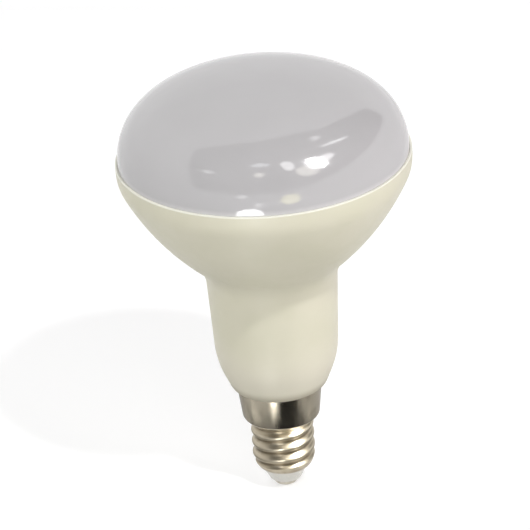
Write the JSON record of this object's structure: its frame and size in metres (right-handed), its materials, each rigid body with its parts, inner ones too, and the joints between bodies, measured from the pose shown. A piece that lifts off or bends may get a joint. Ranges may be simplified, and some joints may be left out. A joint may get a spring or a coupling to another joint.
{
  "type": "reflector bulb",
  "caption": "Reflector lamp with a domed opal diffuser, a flared cream housing on a slim neck, and a small Edison screw cap.",
  "frame": {"origin": "tip of the centre contact, on the lamp's axis, where the cap comes to rest in a lamp holder", "axes": "+Z along the lamp's axis, from the screw cap towards the diffuser"},
  "size_m": [0.063, 0.063, 0.0978],
  "materials": {
    "opal_plastic": "glossy opal",
    "cream_plastic": "satin",
    "nickel_plate": "satin nickel plate",
    "pale_insulator": "smooth",
    "contact_metal": "plain"
  },
  "bodies": {
    "root": {"diffuser": "opal_plastic", "housing": "cream_plastic", "screw_cap": "nickel_plate", "cap_insulator": "pale_insulator", "centre_contact": "contact_metal"}
  },
  "joints": []
}
